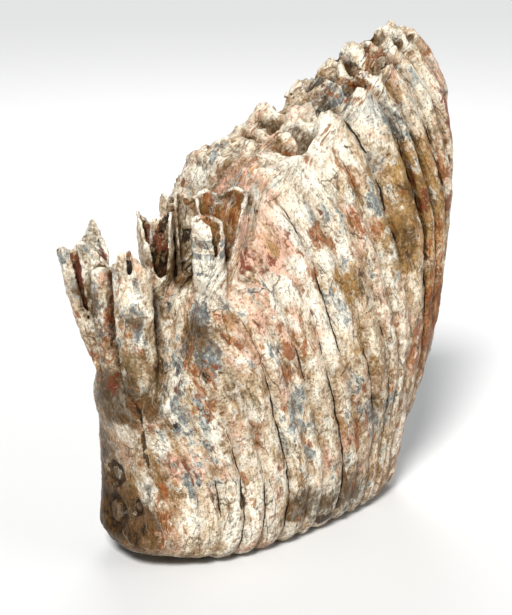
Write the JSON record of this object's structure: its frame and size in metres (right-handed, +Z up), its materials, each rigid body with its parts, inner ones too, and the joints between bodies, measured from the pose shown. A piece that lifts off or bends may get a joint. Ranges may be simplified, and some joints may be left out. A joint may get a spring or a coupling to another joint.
{
  "type": "fossil mammoth tooth",
  "caption": "Fossil mammoth molar that stands on its chewing face: a ribbed crown of fused plates, with broken hollow roots at one end of its slanting open root face.",
  "frame": {"origin": "centre of the flat patch of the chewing face that the tooth rests on", "axes": "+Z up, away from the chewing face; +X along the tooth from its front, where the roots are, to its back; -Y towards the cheek side"},
  "size_m": [0.2327, 0.0936, 0.2526],
  "materials": {
    "fossil": "mineralised enamel and cement, cream mottled with orange-brown, pink-brown and blue-grey, under a satin coat of preservative"
  },
  "bodies": {
    "root": {"mammoth_tooth": "fossil"}
  },
  "joints": []
}
